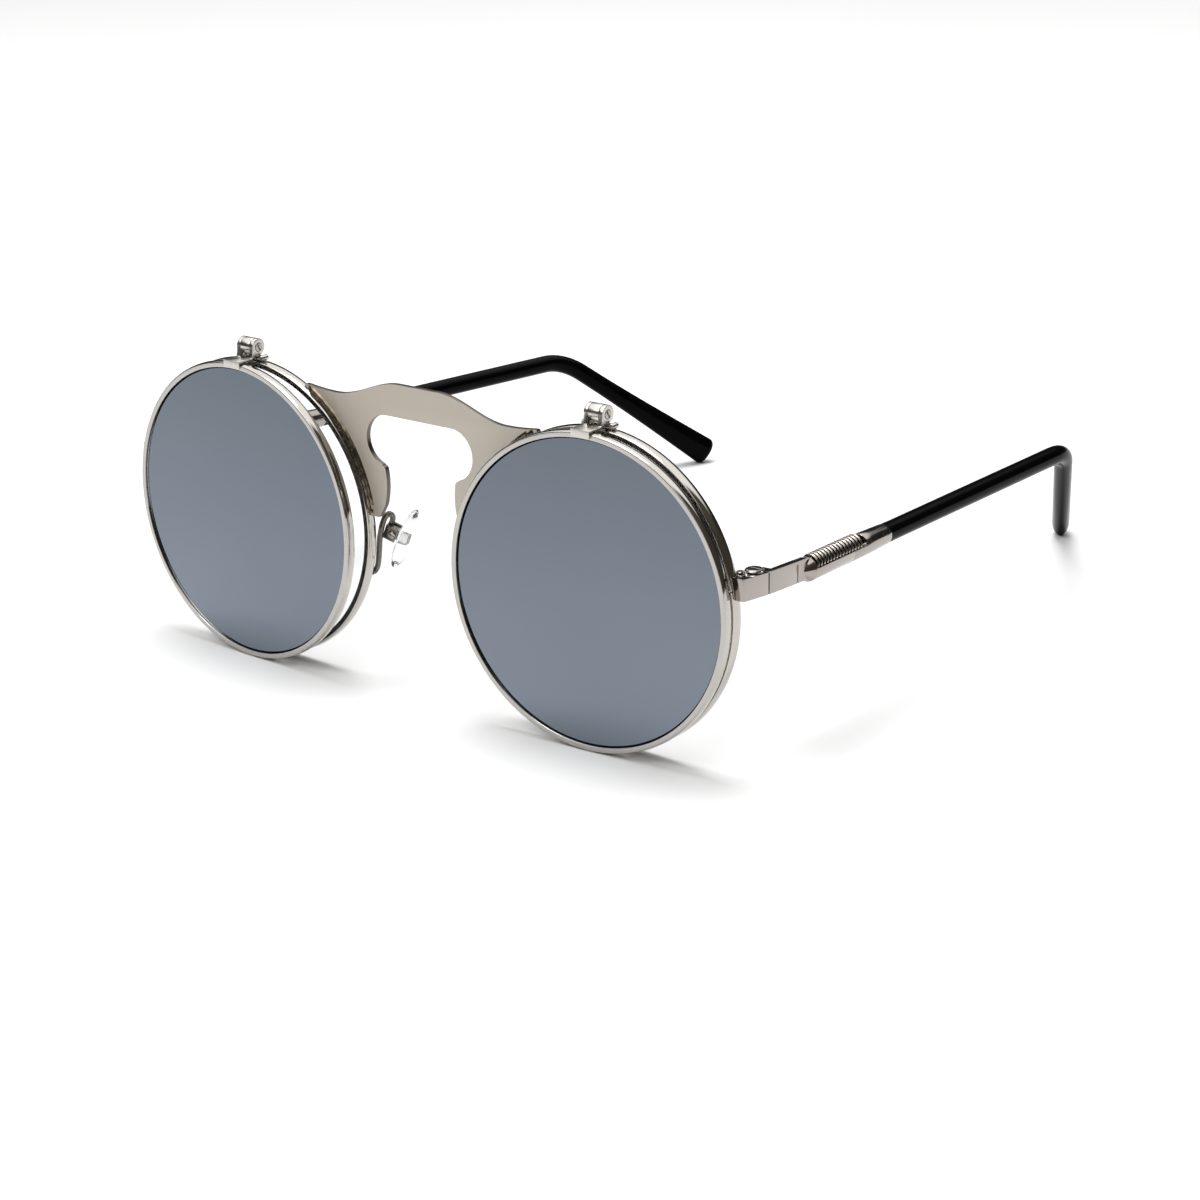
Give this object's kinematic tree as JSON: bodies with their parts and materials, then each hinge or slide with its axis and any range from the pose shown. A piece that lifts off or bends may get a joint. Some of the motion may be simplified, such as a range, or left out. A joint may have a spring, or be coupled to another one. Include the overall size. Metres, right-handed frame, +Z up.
{
  "type": "round flip-up sunglasses",
  "caption": "Round wire-rimmed glasses with clear lenses, mirrored lenses that flip up on hinges over the eyes, a bridge plate, nose pads and spring-set temples that fold",
  "frame": {"origin": "the middle of the footprint, on the plane that the rims and temple tips stand on", "axes": "+Y from the lenses back to the temple tips, +Z up, +X to the wearer's left"},
  "size_m": [0.1294, 0.1426, 0.055],
  "materials": {
    "polished_nickel": "polished nickel plate",
    "satin_nickel": "satin nickel plate, fine even grain",
    "brushed_nickel": "lightly brushed nickel plate",
    "mirror_lens": "blue-grey mirror coat on a dark tint",
    "clear_lens": "clear polished lens",
    "black_acetate": "polished black acetate",
    "clear_silicone": "clear soft pad, smooth",
    "frosted_plastic": "frosted moulded lug",
    "spring_steel": "bright spring wire",
    "screw_steel": "turned screw steel"
  },
  "bodies": {
    "frame": {"rear_rim_left": "polished_nickel", "rear_rim_right": "polished_nickel", "clear_lens_left": "clear_lens", "clear_lens_right": "clear_lens", "bridge_plate": "satin_nickel", "end_piece_left": "brushed_nickel", "end_piece_right": "brushed_nickel", "closing_barrels_left": "polished_nickel", "closing_barrels_right": "polished_nickel", "closing_screws": "screw_steel", "temple_hinge_screws": "screw_steel", "flip_knuckle_left": "polished_nickel", "flip_knuckle_right": "polished_nickel", "flip_pins": "screw_steel", "pad_arm_left": "polished_nickel", "pad_arm_right": "polished_nickel", "pad_box_left": "polished_nickel", "pad_box_right": "polished_nickel", "pad_screws": "screw_steel"},
    "pad_left": {"nose_pad_left": "clear_silicone", "pad_lug_left": "frosted_plastic"},
    "pad_right": {"nose_pad_right": "clear_silicone", "pad_lug_right": "frosted_plastic"},
    "flip_left": {"flip_rim_left": "polished_nickel", "mirror_lens_left": "mirror_lens", "flip_clevis_left": "polished_nickel"},
    "flip_right": {"flip_rim_right": "polished_nickel", "mirror_lens_right": "mirror_lens", "flip_clevis_right": "polished_nickel"},
    "temple_left": {"temple_block_left": "brushed_nickel", "coil_spring_left": "spring_steel", "spring_sleeve_left": "brushed_nickel", "core_wire_left": "spring_steel", "temple_tip_left": "black_acetate"},
    "temple_right": {"temple_block_right": "brushed_nickel", "coil_spring_right": "spring_steel", "spring_sleeve_right": "brushed_nickel", "core_wire_right": "spring_steel", "temple_tip_right": "black_acetate"}
  },
  "joints": [
    {"name": "flip_hinge_left", "type": "hinge", "parent": "frame", "child": "flip_left", "pos_m": [0.0367, -0.06543, 0.0536], "axis": [-1, 0, 0], "range_deg": [0, 100]},
    {"name": "flip_hinge_right", "type": "hinge", "parent": "frame", "child": "flip_right", "pos_m": [-0.0367, -0.06543, 0.0536], "axis": [-1, 0, 0], "range_deg": [0, 100]},
    {"name": "temple_hinge_left", "type": "hinge", "parent": "frame", "child": "temple_left", "pos_m": [0.06222, -0.06098, 0.0302], "axis": [0, 0, 1], "range_deg": [0, 82]},
    {"name": "temple_hinge_right", "type": "hinge", "parent": "frame", "child": "temple_right", "pos_m": [-0.06222, -0.06098, 0.0302], "axis": [0, 0, -1], "range_deg": [0, 62]},
    {"name": "pad_pivot_left", "type": "hinge", "parent": "frame", "child": "pad_left", "pos_m": [0.01011, -0.06111, 0.02485], "axis": [0.2823, 0.9511, 0.1257], "range_deg": [-8, 8]},
    {"name": "pad_pivot_right", "type": "hinge", "parent": "frame", "child": "pad_right", "pos_m": [-0.01011, -0.06111, 0.02485], "axis": [0.2823, -0.9511, -0.1257], "range_deg": [-8, 8]}
  ]
}
